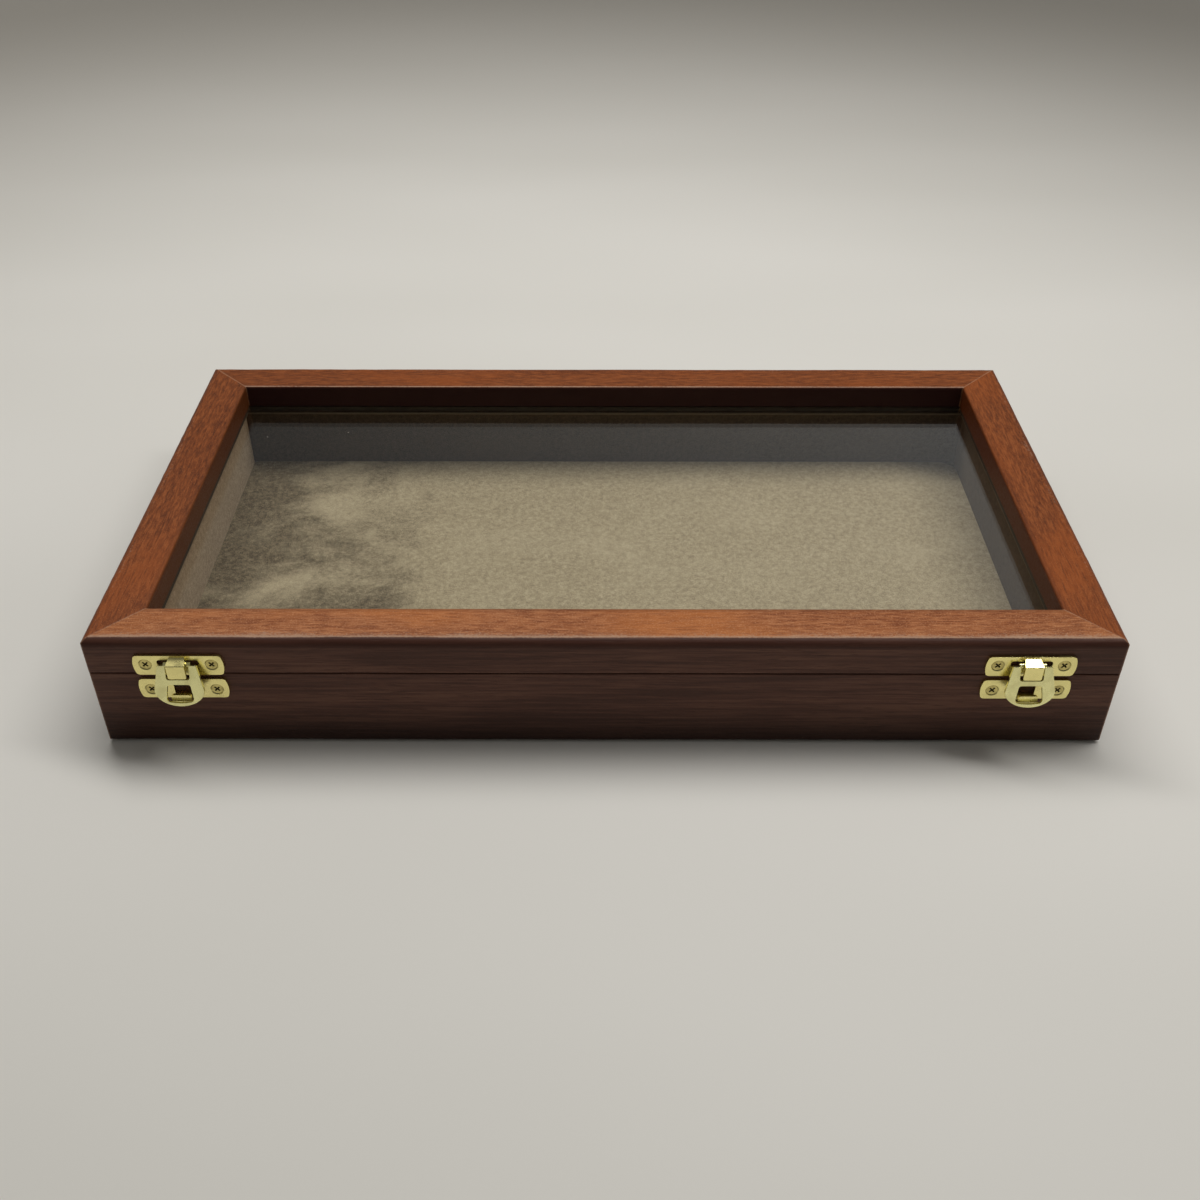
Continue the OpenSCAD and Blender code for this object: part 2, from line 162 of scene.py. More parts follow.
def wood(name, along, shift, top, face, inner):
    """Lacquered open-grained wood, with its grain along one axis.

    top is the dark, middle, light, warm and speckled tones of the upper faces, face the dark,
    middle and light tones of the outer faces, darker as painted shade, and inner the tone of the
    painted shade on the lid's inner faces, and on the base's foot for the base.
    """
    finish = Finish(name, **{"Specular IOR Level": 0.16})

    def lengthwise(long, across):
        return (long, across, across) if along == "x" else (across, long, across)

    band = finish.noise(lengthwise(7, 75), shift, detail=3, rough=0.55, warp=0.3)
    streak = finish.noise(lengthwise(34, 1050), shift, detail=4, rough=0.6)
    dash = finish.noise(lengthwise(240, 1500), shift, detail=2, rough=0.6)
    broad = finish.maths("MULTIPLY_ADD", band, 0.45, finish.maths("MULTIPLY", streak, 0.55))
    figure = finish.maths("MULTIPLY_ADD", dash, 0.55, finish.maths("MULTIPLY", broad, 0.45))
    colour = finish.ramp(figure, (0.4, top[0]), (0.5, top[1]), (0.6, top[2]))
    warmth = finish.noise(lengthwise(16, 40), shift, detail=2, rough=0.5)
    colour = finish.mix(finish.between(warmth, 0.48, 0.7, 0, 0.6), colour, top[3])

    pores = finish.noise(lengthwise(150, 2600), shift, detail=2, rough=0.5)
    pore = finish.between(pores, 0.56, 0.68)
    colour = finish.mix(finish.maths("MULTIPLY", pore, 0.6), colour, top[0])
    specks = finish.noise((2300, 2300, 2300), shift, detail=2, rough=0.7)
    colour = finish.mix(finish.between(specks, 0.5, 0.72, 0, 0.6), colour, top[4])

    streaks = finish.maths("MULTIPLY_ADD", streak, 0.62, finish.maths("MULTIPLY", band, 0.38))
    # Painted shade: where the side attribute is set, on the upright outer faces, these darker tones are
    # used.
    outer_shade_colour = finish.ramp(streaks, (0.4, face[0]), (0.5, face[1]), (0.6, face[2]))
    outer_shade_colour = finish.mix(finish.maths("MULTIPLY", pore, 0.7), outer_shade_colour, face[0])
    colour = finish.mix(finish.attribute("side"), colour, outer_shade_colour)
    # Painted shade where the inner attribute is set: the lid's inner faces, the front's outer top round and
    # the base's foot.
    colour = finish.mix(finish.attribute("inner"), colour, inner)

    # Pale scuffed lacquer along the edges, together with a painted highlight where the lamp catches the
    # lid's top edges.
    fine_patches = finish.noise(lengthwise(1100, 1700), shift, detail=3, rough=0.8)
    slow = finish.noise(lengthwise(45, 60), shift, detail=3, rough=0.6)
    loose = finish.maths("MULTIPLY_ADD", slow, 0.6, finish.maths("MULTIPLY", fine_patches, 1.3))
    worn_and_highlight = finish.between(finish.maths("ADD", finish.attribute("wear"), loose), 1.25, 1.85, 0, 0.8)
    colour = finish.mix(worn_and_highlight, colour, paint(178, 146, 122))
    seam = finish.maths("MULTIPLY", finish.attribute("seam"), finish.between(loose, 0.8, 1.05, 0.2, 0.85))
    colour = finish.mix(seam, colour, paint(176, 134, 104))

    height = finish.maths("SUBTRACT", finish.maths("MULTIPLY_ADD", specks, 0.5, dash), pore)
    finish.set(finish.shader, {
        "Base Color": colour,
        "Roughness": finish.between(specks, 0.3, 0.7, 0.4, 0.6),
        "Normal": finish.bump(height, 0.00005, 0.5),
    })
    return finish.material


def suede(name, shift, dark, light, pale, left_tones=None):
    """Short-napped cloth, mottled in its nap.

    left_tones, when given, holds the darker tones of the floor's left part.
    """
    finish = Finish(name, **{"Roughness": 0.95, "Sheen Weight": 0.12, "Sheen Roughness": 0.5,
                             "Sheen Tint": paint(206, 198, 184), "Specular IOR Level": 0.15})
    nap = finish.noise((2300, 2300, 2300), shift, detail=2, rough=0.7)
    clump = finish.noise((620, 620, 620), shift, detail=3, rough=0.7)
    cloud = finish.noise((24, 34, 30), shift, detail=4, rough=0.65, warp=0.4)
    mottle = finish.maths("MULTIPLY_ADD", nap, 0.55, finish.maths("MULTIPLY", clump, 0.45))
    colour = finish.ramp(mottle, (0.38, dark), (0.5, light), (0.64, pale))
    if left_tones:
        reach = finish.maths("MULTIPLY_ADD", cloud, 0.18, finish.split()["X"])
        shade = finish.ramp(mottle, *zip((0.4, 0.5, 0.62), left_tones))
        colour = finish.mix(finish.between(reach, -0.03, 0.03, 0.95, 0.0), colour, shade)
    colour = finish.mix(finish.between(cloud, 0.45, 0.72, 0.0, 0.3), colour, pale)
    # Painted highlight: a pale line along the cloth's rolled rim, where the edge attribute is set.
    colour = finish.mix(finish.maths("MULTIPLY", finish.attribute("edge"), 0.6), colour,
                        paint(158, 146, 128))
    finish.set(finish.shader, {
        "Base Color": colour,
        "Normal": finish.bump(finish.maths("ADD", nap, clump), 0.0001, 0.6),
    })
    return finish.material


def brass(name, tone, rough, screws=()):
    """Polished pale brass, with faint rolling marks, a film of handling and painted shade in
    its countersinks.

    screws holds, for each row of screws, how far the middle of its pair and each screw in it stand
    out to the side, and its height. The painted shade in a countersink grows with its depth under
    the plate's face.
    """
    finish = Finish(name, **{"Metallic": 1.0, "IOR": 1.5})
    film = finish.noise((260, 260, 260), detail=3, rough=0.6)
    marks = finish.noise((90, 1400, 3200), detail=3, rough=0.6)
    colour = finish.mix(finish.between(film, 0.4, 0.7, 0, 0.3), tone, paint(214, 202, 138))
    place = finish.split()
    out = finish.away(place["Y"], CASE_D / 2)
    for middle, gap, height in screws:
        aside = finish.away(finish.away(place["X"], middle), gap)
        above = finish.maths("SUBTRACT", place["Z"], height * MM)
        near = finish.maths("SQRT", finish.maths("ADD", finish.maths("POWER", aside, 2.0),
                                                 finish.maths("POWER", above, 2.0)))
        # Painted shade inside each countersink, below the plate's face.
        countersink_shade = finish.maths("MULTIPLY", finish.between(near, 2.0 * MM, 2.12 * MM, 1, 0),
                            finish.between(out, 0.55 * MM, 0.88 * MM, 0.93, 0))
        colour = finish.mix(countersink_shade, colour, paint(52, 42, 20))
    finish.set(finish.shader, {
        "Base Color": colour,
        "Roughness": finish.between(film, 0.3, 0.75, rough, rough + 0.12),
        "Normal": finish.bump(finish.maths("ADD", marks, film), 0.00001, 0.3),
    })
    return finish.material


def screw_metal():
    """Duller brass, dark in the cross and below the rim of the head."""
    finish = Finish("screw_brass", **{"Metallic": 1.0, "IOR": 1.5})
    film = finish.noise((420, 420, 420), detail=3, rough=0.6)
    # Painted shade on the head below its rim and in the cross.
    out = finish.away(finish.split()["Y"], CASE_D / 2)
    tone = finish.mix(finish.between(film, 0.4, 0.7, 0, 0.6), paint(206, 192, 124), paint(150, 134, 78))
    finish.set(finish.shader, {
        "Base Color": finish.mix(finish.between(out, 0.5 * MM, 0.64 * MM, 0.95, 0), tone,
                                 paint(40, 32, 16)),
        "Roughness": finish.between(film, 0.3, 0.7, 0.22, 0.4),
    })
    return finish.material


def pane_glass():
    """Clear float glass with a few specks of dust, which lets light straight through.

    Shadow rays and diffuse rays both pass it unbent, so that a lamp's light counts once behind it.
    """
    finish = Finish("pane_glass", **{"Base Color": (0.97, 0.985, 0.975, 1), "Roughness": 0.0,
                                     "IOR": 1.5, "Transmission Weight": 1.0})
    specks = finish.add("ShaderNodeTexVoronoi", {"Vector": finish.scaled((70, 70, 70)), "Scale": 1.0})
    spot = finish.between(specks.outputs["Distance"], 0.012, 0.02, 1, 0)
    dust = finish.add("ShaderNodeBsdfDiffuse", {"Color": paint(190, 180, 165)})
    dusty = finish.add("ShaderNodeMixShader")
    finish.set(dusty, {0: finish.maths("MULTIPLY", spot, 0.8), 1: finish.shader.outputs[0],
                       2: dust.outputs[0]})
    open_way = finish.add("ShaderNodeBsdfTransparent", {"Color": (0.94, 0.955, 0.945, 1)})
    rays = finish.add("ShaderNodeLightPath").outputs
    unbent = finish.maths("MAXIMUM", rays["Is Shadow Ray"], rays["Is Diffuse Ray"])
    shown = finish.add("ShaderNodeMixShader")
    finish.set(shown, {0: unbent, 1: dusty.outputs[0], 2: open_way.outputs[0]})
    finish.set(finish.output, {"Surface": shown.outputs[0]})
    return finish.material


def lining_card():
    """Grey-brown pulp card."""
    finish = Finish("lining_card", **{"Roughness": 0.9, "Specular IOR Level": 0.3})
    pulp = finish.noise((600, 600, 600), detail=5, rough=0.7)
    finish.set(finish.shader, {
        "Base Color": finish.ramp(pulp, (0.35, paint(104, 92, 76)), (0.65, paint(146, 134, 114))),
        "Normal": finish.bump(pulp, 0.00005, 0.5),
    })
    return finish.material


def tones(*colours):
    return [paint(*colour) for colour in colours]


# Darker tones for the upright outer faces: painted shade.
OUTER_SHADE = tones((78, 52, 43), (94, 63, 52), (108, 75, 61))
SIDE_TOP = tones((88, 42, 18), (118, 60, 26), (142, 78, 38), (150, 76, 28), (168, 104, 60))
# The front rail's top takes lighter tones than the other rails': painted sheen.
FRONT_TOP_SHEEN = tones((126, 68, 36), (156, 94, 55), (178, 116, 74), (184, 110, 54), (206, 154, 112))
BASE_TOP_TONES = tones((58, 32, 24), (88, 50, 36), (112, 68, 48), (96, 56, 38), (120, 80, 60))
BEAD_TONES = tones((44, 42, 38), (56, 53, 47), (66, 63, 56), (58, 55, 48), (72, 68, 60))
# The first is painted shade for the base's foot, the second the glazing strips' inner tone.
FOOT_SHADE, BEAD_INNER = tones((34, 21, 18), (44, 42, 38))
GRAIN = {"front": "x", "back": "x", "left": "y", "right": "y"}
# Painted shade on each lid rail's inner faces, darkest on the front and back rails.
INNER_SHADE = {"front": (58, 29, 20), "back": (55, 28, 25), "left": (88, 46, 18), "right": (92, 43, 14)}

lid_woods, base_woods, bead_woods = {}, {}, {}
for number, side in enumerate(SIDES):
    top = FRONT_TOP_SHEEN if side == "front" else SIDE_TOP
    shift = (3 + 5 * number, 5 + 13 * number, 2 + number)
    lid_woods[side] = wood(f"lid_wood_{side}", GRAIN[side], shift, top, OUTER_SHADE, paint(*INNER_SHADE[side]))
    base_woods[side] = wood(f"base_wood_{side}", GRAIN[side], (23, *shift[1:]), BASE_TOP_TONES, OUTER_SHADE,
                            FOOT_SHADE)
    bead_woods[side] = wood(f"bead_wood_{side}", GRAIN[side], (61, *shift[1:]), BEAD_TONES, BEAD_TONES,
                            BEAD_INNER)
panel_wood = wood("panel_wood", "x", (71, 13, 5),
                  tones((112, 80, 52), (146, 110, 74), (172, 136, 96), (160, 122, 82), (186, 150, 112)),
                  OUTER_SHADE, paint(112, 80, 52))
floor_suede = suede("floor_suede", (4, 9, 1), *tones((145, 128, 102), (178, 160, 129), (204, 186, 155)),
                    left_tones=tones((70, 58, 43), (103, 89, 68), (148, 130, 103)))
# The walls share one suede, toned by side as painted light and shade: lit on the left, shaded on the back
# and right.
wall_suedes_lit_and_shaded = {side: suede("painted_light_wall_suede_" + side, (14, 3, 7), *tones(*colours)) for side, colours in {
    "front": ((128, 114, 94), (152, 136, 114), (176, 159, 134)),
    "back": ((67, 59, 51), (82, 72, 62), (97, 86, 74)),
    "left": ((150, 128, 105), (178, 155, 128), (202, 178, 152)),
    "right": ((68, 57, 46), (85, 71, 57), (102, 87, 70))}.items()}
LATCH_SCREWS, CATCH_SCREWS = (LATCH_X, 9.55, 31.35), (LATCH_X, 9.55, 21.95)
LEAF_SCREWS = ((HINGE_X, 8.0, HINGE_Z + 5.6), (HINGE_X, 8.0, HINGE_Z - 5.6))
plate_brass = brass("plate_brass", paint(242, 230, 156), 0.22, (LATCH_SCREWS, CATCH_SCREWS))
leaf_brass = brass("leaf_brass", paint(222, 208, 146), 0.22, LEAF_SCREWS)
# The lever takes a brighter tone than the plates: painted light.
lever_brass_painted_light = brass("lever_brass_painted_light", paint(254, 249, 182), 0.24)
screw_brass = screw_metal()
glass = pane_glass()
card = lining_card()


# Meshes

def piece(name, points, faces, material, body, smooth_below=38.0, **attributes):
    """A mesh from points in millimetres, with one number per point in each named attribute."""
    mesh = bpy.data.meshes.new(name)
    mesh.from_pydata((np.asarray(points) * MM).tolist(), [], [list(map(int, f)) for f in faces])
    for key, values in attributes.items():
        layer = mesh.attributes.new(key, "FLOAT", "POINT")
        layer.data.foreach_set("value", np.asarray(values, dtype=np.float32).ravel())
    mesh.materials.append(material)
    mesh.validate()
    mesh.shade_smooth()
    mesh.set_sharp_from_angle(angle=math.radians(smooth_below))
    made = bpy.data.objects.new(name, mesh)
    bpy.context.scene.collection.objects.link(made)
    if body:
        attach(made, body)
    return made


def tube_faces(stations, around):
    """The faces of a closed profile of around points carried over stations, with both ends capped."""
    i, j = np.meshgrid(np.arange(stations - 1), np.arange(around), indexing="ij")
    k = (j + 1) % around
    walls = np.stack([i * around + j, (i + 1) * around + j, (i + 1) * around + k, i * around + k], -1)
    first = np.arange(around)
    return [*walls.reshape(-1, 4), first, (stations - 1) * around + first[::-1]]


def sheet_faces(rows, columns):
    """The faces of a closed sheet: a grid, its back, and the strip round their edges."""
    i, j = np.meshgrid(np.arange(rows - 1), np.arange(columns - 1), indexing="ij")
    front = np.stack([i * columns + j, i * columns + j + 1, (i + 1) * columns + j + 1,
                      (i + 1) * columns + j], -1).reshape(-1, 4)
    count = rows * columns
    edge = np.concatenate([
        np.arange(columns), np.arange(1, rows) * columns + columns - 1,
        (rows - 1) * columns + np.arange(columns - 2, -1, -1),
        np.arange(rows - 2, 0, -1) * columns])
    after = np.roll(edge, -1)
    rim = np.stack([after, edge, edge + count, after + count], -1)
    return [*front, *(front[:, ::-1] + count), *rim]


def waves(values, seed, length, amount):
    """A slow, smooth unevenness: five sines of random pitch and phase, added up."""
    random = np.random.default_rng(seed)
    pitch = random.uniform(0.5, 2.2, 5)[:, None] * 2 * np.pi / length
    phase = random.uniform(0, 2 * np.pi, 5)[:, None]
    flat = np.asarray(values, dtype=float).ravel()
    return (np.sin(flat * pitch + phase).mean(0) * amount * 2).reshape(np.shape(values))


def turned(side, x, y):
    """A place on the front side, given as x and y, turned to one of the four sides."""
    return {"front": (x, y), "right": (-y, x), "back": (-x, -y), "left": (y, -x)}[side]


def side_sizes(side):
    return (CASE_W, CASE_D) if side in ("front", "back") else (CASE_D, CASE_W)


class Profile:
    """A closed outline of depth in from the outer face and height, with how its faces are finished.

    A round stretch keeps its corner and the way to each point, so its radius may change along
    the rail: a point is its corner plus its way times the radius. wear is how pale the
    lacquer is scuffed, together with a painted highlight on the lid's top edges; side is 1 on the
    outer faces, which take painted shade; and inner is the share of the painted shade of the inner
    tone: 1 on the faces above the glass, and less where it darkens the lid's front edge and the
    base's foot.
    """

    def __init__(self):
        self.corner, self.way, self.radius = [], [], []
        self.wear, self.side, self.inner = [], [], []

    def point(self, depth, height, wear=0.0, side=0.0, inner=0.0, way=(0.0, 0.0), radius=0.0):
        self.corner.append((depth, height))
        self.way.append(way)
        self.radius.append(radius)
        self.wear.append(wear)
        self.side.append(side)
        self.inner.append(inner)

    def line(self, depth, height, steps, **finish):
        """Points at even steps from the last one to depth and height."""
        start = np.array(self.corner[-1]) + np.array(self.way[-1]) * self.radius[-1]
        for share in np.arange(1, steps + 1) / steps:
            self.point(*(start + (np.array([depth, height]) - start) * share), **finish)

    def round(self, depth, height, radius, start, end, steps, **finish):
        """An arc of radius that rounds off the corner at depth and height, from one angle to another."""
        angles = np.radians(np.linspace(start, end, steps + 1))
        inward = np.array([np.cos(math.radians(start)) + np.cos(math.radians(end)),
                           np.sin(math.radians(start)) + np.sin(math.radians(end))])
        for angle in angles:
            way = np.array([np.cos(angle), np.sin(angle)]) - inward
            self.point(depth, height, way=tuple(way), radius=radius, **finish)


def base_profile(side):
    outline = Profile()
    # Painted shade: the outer face darkens towards the base's foot.
    outline.round(0, 0, 2.0, 270, 180, 8, wear=0.12, side=1, inner=0.8)
    outline.line(0, BASE_TOP - 0.7, 12, side=1)
    outline.inner[9:15] = [0.72, 0.6, 0.46, 0.32, 0.2, 0.1]
    outline.round(0, BASE_TOP, 0.35, 180, 90, 4, wear=0.2, side=1)
    outline.line(WALL - 0.3, BASE_TOP, 4)
    outline.round(WALL, BASE_TOP, 0.2, 90, 0, 2, wear=0.1)
    outline.line(WALL, PANEL_T, 2)
    outline.point(PANEL_IN, PANEL_T)
    outline.point(PANEL_IN, 0)
    return outline


# How pale each lid rail's outer and inner top edges are: scuffed lacquer together with a painted highlight
WEAR_AND_HIGHLIGHT = {"front": (0.95, 0.2), "right": (0.4, 0.1), "back": (0.3, 0.8), "left": (0.4, 0.1)}


def lid_profile(side):
    """The lid's outline, scuffed pale with a painted highlight along its top edges, and with painted shade
    round its outer edge on the front and on its inner faces.
    """
    lip = GLASS_TOP
    edge_wear_highlight, inner_wear_highlight = WEAR_AND_HIGHLIGHT[side]
    shaded = 0.0 if side == "back" else 0.25
    outline = Profile()
    outline.round(0, LID_LOW, 0.35, 270, 180, 4, wear=0.12, side=1)
    outline.line(0, LID_TOP - 2.9, 6, side=1)
    # On the front the round over the outer top edge takes painted shade of the inner tone; on the other
    # rails the outer faces' painted shade fades out across it.
    outline.round(0, LID_TOP, 2.2, 180, 90, 12, side=1, inner=0.65)
    outline.wear[-3:] = [0.15 * edge_wear_highlight, 0.6 * edge_wear_highlight, edge_wear_highlight]
    if side == "front":
        outline.side[-2:] = [0.7, 0.3]
        outline.inner[-3:] = [0.4, 0.2, 0.0]
    else:
        outline.side[-13:] = np.linspace(1, 0, 13).tolist()
        outline.inner[-13:] = [0.0] * 13
    # A pale band across the top near the outer edge, strongest on the front: scuffed lacquer together with
    # painted sheen.
    for depth in (2.6, 3.3, 4.2, 5.2, 6.4, 8.0, 11.0):
        outline.point(depth, LID_TOP, wear=0.78 * edge_wear_highlight * math.exp((2.2 - depth) / 2.6))
    outline.point(LID_RAIL - 2.2, LID_TOP)
    outline.point(LID_RAIL - 1.3, LID_TOP, inner=shaded)
    outline.round(LID_RAIL, LID_TOP, 0.8, 90, 0, 6)
    outline.wear[-7:] = [0.6 * inner_wear_highlight, inner_wear_highlight, inner_wear_highlight, 0.3 * inner_wear_highlight, 0, 0, 0]
    # Painted shade deepens over the inner round and down the inner faces.
    outline.inner[-7:] = [shaded, shaded + 0.1, shaded + 0.2, 0.7, 0.9, 1, 1]
    outline.line(LID_RAIL, lip + 0.3, 5, inner=1)
    outline.line(LID_RAIL, lip, 1, inner=1)
    outline.point(RABBET_IN, lip)
    outline.point(RABBET_IN, LID_LOW)
    return outline


def bead_profile(side):
    outline = Profile()
    outline.point(RABBET_IN, GLASS_LOW)
    outline.line(BEAD_IN, GLASS_LOW, 3)
    outline.line(BEAD_IN, BEAD_LOW + 0.35, 2)
    outline.round(BEAD_IN, BEAD_LOW, 0.3, 0, -90, 4, wear=0.2)
    outline.line(RABBET_IN, BEAD_LOW, 3)
    return outline


def rail(name, side, outline, material, body, seed, uneven):
    """A mitred rail: an outline carried along one side of the frame.

    A point stands at share u of the way from the middle to the mitre, so x = u (half - depth).
    Near the mitre its depth is at least the set-back of the rounded upright corner, which is
    r - sqrt(r^2 - (r - t)^2) at the distance t from the corner.
    """
    corner, way, radius, wear, outer_shade, inner = [np.array(values, dtype=float) for values in (
        outline.corner, outline.way, outline.radius, outline.wear, outline.side, outline.inner)]
    length, across = side_sizes(side)
    half = length / 2
    near = np.array([0, 0.12, 0.28, 0.45, 0.65, 0.85, 1.1, 1.6, 2.5]) / half
    middle = np.linspace(0, 1 - 5 / half, int(half / 3.5))
    share = np.concatenate([middle, 1 - near[::-1]])
    share = np.concatenate([-share[:0:-1], share])[:, None]

    swell = 1 + waves(share * half, seed, 70, 0.05) + waves(share * half, seed + 1, 9, 0.035)
    points = corner[None] + way[None] * (radius[None] * swell)[..., None]
    depth, height = points[..., 0], points[..., 1]
    corner_least = CORNER_ROUND * (1 - math.sqrt(0.5))
    x = share * (half - np.maximum(depth, corner_least))
    reach = np.clip(half - np.abs(x), 0, CORNER_ROUND)
    setback = CORNER_ROUND - np.sqrt(CORNER_ROUND ** 2 - (CORNER_ROUND - reach) ** 2)
    depth = np.maximum(depth, setback)
    bow = uneven * waves(x, seed + 2, 110, 1.0)
    depth = depth + np.where(depth < LID_RAIL / 2, bow * (outer_shade[None] > 0.5), 0)

    end = np.clip(1 - (1 - np.abs(share)) * half / 0.5, 0, 1) * np.ones_like(depth)
    top = height > height.max() - 0.01
    height = height - 0.05 * end * top
    px, py = turned(side, x, depth - across / 2)
    stations, around = depth.shape
    rows = np.ones((stations, 1))
    return piece(name, np.stack([px, py, height], -1).reshape(-1, 3), tube_faces(stations, around),
                 material, body, wear=rows * wear, side=rows * outer_shade, inner=rows * inner, seam=end)


def outwards(made):
    """Turns every face of a closed piece to point out of it."""
    shape = bmesh.new()
    shape.from_mesh(made.data)
    bmesh.ops.recalc_face_normals(shape, faces=shape.faces)
    shape.to_mesh(made.data)
    shape.free()
    return made


for number, side in enumerate(SIDES):
    for frame_part, profile, woods, body, slot, seed, uneven, replaced in (
            ("base_frame", base_profile, base_woods, "base", "base_wood", 10, 0.05, f"base_{side}_rail"),
            ("lid_frame", lid_profile, lid_woods, "lid", "lid_wood", 20, 0.05, f"lid_{side}_rail"),
            ("glazing_strip", bead_profile, bead_woods, "lid", "bead_wood", 30, 0.0,
             f"{side}_glass_bead")):
        made = outwards(rail(f"{side}_{frame_part}", side, profile(side), woods[side], body,
                             seed + number, uneven))
        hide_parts(replaced)


# Lining

def crowded(count, power):
    """Shares from -1 to 1 that crowd towards both ends: sign(s) (1 - (1 - |s|)^power)."""
    share = np.linspace(-1, 1, count)
    return np.sign(share) * (1 - (1 - np.abs(share)) ** power)


def floor_lining():
    """The floor's cloth: a grid whose height falls off in a quarter round at its rim.

    z = top - roll (1 - sqrt(1 - (1 - e / roll)^2)) at the distance e from the rim, plus a slow
    unevenness, and the rim is drawn in at the corners.
    """
    columns, rows = 141, 73
    roll = 0.5
    u, v = np.meshgrid(crowded(columns, 1.35), crowded(rows, 1.35))
    half_w, half_d = FLOOR_HALF[0] - 1.2, FLOOR_HALF[1] - 1.2
    x, y = u * half_w, v * half_d
    corner_r = np.where((x > 0) & (y > 0), 9.0, 3.0)
    over_x = np.clip(np.abs(x) - (half_w - corner_r), 0, None)
    over_y = np.clip(np.abs(y) - (half_d - corner_r), 0, None)
    far = np.hypot(over_x, over_y)
    longest = np.where(far > 0, np.maximum(over_x, over_y) / np.maximum(far, 1e-9), 1)
    x = np.sign(x) * (np.abs(x) - over_x * (1 - longest))
    y = np.sign(y) * (np.abs(y) - over_y * (1 - longest))
    rim = np.minimum((1 - np.abs(u)) * half_w, (1 - np.abs(v)) * half_d)
    fall = roll * (1 - np.sqrt(np.clip(1 - (1 - np.clip(rim / roll, 0, 1)) ** 2, 0, 1)))
    lift = waves(x + 0.6 * y, 41, 90, 0.035) + waves(y - 0.4 * x, 42, 60, 0.03)
    inside = np.clip(rim / 8, 0, 1)
    top = FLOOR_LOW + CLOTH_T - fall + lift * inside
    low = np.full_like(top, FLOOR_LOW)
    # A painted highlight along the floor cloth's rolled rim.
    edge = np.clip(1 - np.abs(rim - 0.35) / 0.5, 0, 1) * 0.5
    points = np.stack([np.stack([x, y, top], -1), np.stack([x, y, low], -1)])
    made = outwards(piece("floor_lining", points.reshape(-1, 3), sheet_faces(rows, columns),
                          floor_suede, "base", 60, edge=np.stack([edge, edge * 0])))
    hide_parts("floor_cloth")


def wall_lining(side, seed):
    """A wall's cloth: a path up the card's face and over its top, carried along the wall.

    The path goes up the face, swells into a roll of radius r at the top, turns over it and ends
    against the wooden wall. Its back is the same path moved in by the cloth's thickness.
    """
    length, across = side_sizes(side)
    long_side = side in ("front", "back")
    run = length - 2 * WALL if long_side else length - 2 * CLOTH_FACE
    run -= 0.2
    bulge = 0.8
    climb = np.linspace(CLOTH_LOW, CLOTH_TOP - 1.5, 12)
    path = [(CLOTH_FACE, h) for h in climb]
    turn = np.radians(np.linspace(0, 90, 9))
    path += [(CLOTH_FACE + bulge * s, CLOTH_TOP - 1.5 + 0.8 * s) for s in (0.35, 0.75)]
    path += [(CLOTH_FACE + bulge - 0.65 + 0.65 * np.cos(a), CLOTH_TOP - 0.65 + 0.65 * np.sin(a))
             for a in turn]
    path += [(d, CLOTH_TOP) for d in (12.4, 11.7, 11.05)]
    outer = np.array(path)
    step = np.gradient(outer, axis=0)
    normal = np.stack([-step[:, 1], step[:, 0]], -1)
    normal /= np.linalg.norm(normal, axis=1)[:, None]
    inner = outer + normal * CLOTH_T * 0.93
    inner[:, 0] = np.maximum(inner[:, 0], 11.02)
    share = crowded(61 if long_side else 37, 1.3)
    x = (share * run / 2)[:, None] * np.ones(len(outer))
    near = np.clip(1 - (run / 2 - np.abs(x)) / 0.6, 0, 1)
    wave = waves(x + 2 * outer[None, :, 1], seed, 60, 0.05)
    height_share = np.clip((outer[:, 1] - CLOTH_LOW) / 8, 0, 1)[None]
    sides = []
    for line, eased in ((outer, 1.0), (inner, 0.0)):
        depth = line[None, :, 0] + eased * (wave * height_share - 0.35 * near ** 2)
        px, py = turned(side, x, depth - across / 2)
        sides.append(np.stack([px, py, np.broadcast_to(line[None, :, 1], px.shape)], -1))
    # A painted highlight along the roll at the cloth's top edge.
    rim_highlight = np.exp(-((outer[:, 1] - (CLOTH_TOP - 0.45)) / 0.4) ** 2) * (outer[:, 0] > CLOTH_FACE)
    edge = np.broadcast_to(rim_highlight[None], x.shape)
    made = outwards(piece(f"{side}_lining", np.stack(sides).reshape(-1, 3),
                          sheet_faces(*x.shape), wall_suedes_lit_and_shaded[side], "base", 60,
                          edge=np.stack([edge, edge * 0])))
    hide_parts(f"{side}_wall_cloth")


floor_lining()
for number, side in enumerate(SIDES):
    wall_lining(side, 50 + number)


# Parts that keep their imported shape

def finished(node, material, edge=0.0):
    """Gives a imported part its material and, where edge is set, finely rounded edges of that radius."""
    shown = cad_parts[node]
    for place in shown.material_slots:
        place.material = material
    if edge:
        weld = shown.modifiers.new("weld", "WELD")
        weld.merge_threshold = 0.000002
        flat = shown.modifiers.new("flat", "DECIMATE")
        flat.decimate_type, flat.angle_limit = "DISSOLVE", math.radians(0.6)
        ease = shown.modifiers.new("ease", "BEVEL")
        ease.width, ease.segments, ease.limit_method = edge * MM, 2, "ANGLE"
        ease.angle_limit = math.radians(32)
        smooth = shown.modifiers.new("smooth", "WEIGHTED_NORMAL")
        smooth.keep_sharp = True


METAL_PARTS = {
    "latch_plate": (plate_brass, 0.1), "catch_plate": (plate_brass, 0.1), "lever": (lever_brass_painted_light, 0.12),
    "hinge_lid_leaf": (leaf_brass, 0.1), "hinge_base_leaf": (leaf_brass, 0.1),
    "hinge_pin": (leaf_brass, 0.08),
}
for kind, (metal, edge) in METAL_PARTS.items():
    for side in ("left", "right"):
        finished(f"{side}_{kind}", metal, edge)
for node in ("catch_screws", "latch_screws", "hinge_base_screws", "hinge_lid_screws"):
    finished(node, screw_brass, 0.04)
finished("glass_pane", glass, 0.2)
finished("bottom_panel", panel_wood, 0.2)
finished("floor_card", card)
for side in SIDES:
    finished(f"{side}_wall_card", card)


# Stage, lamps and camera

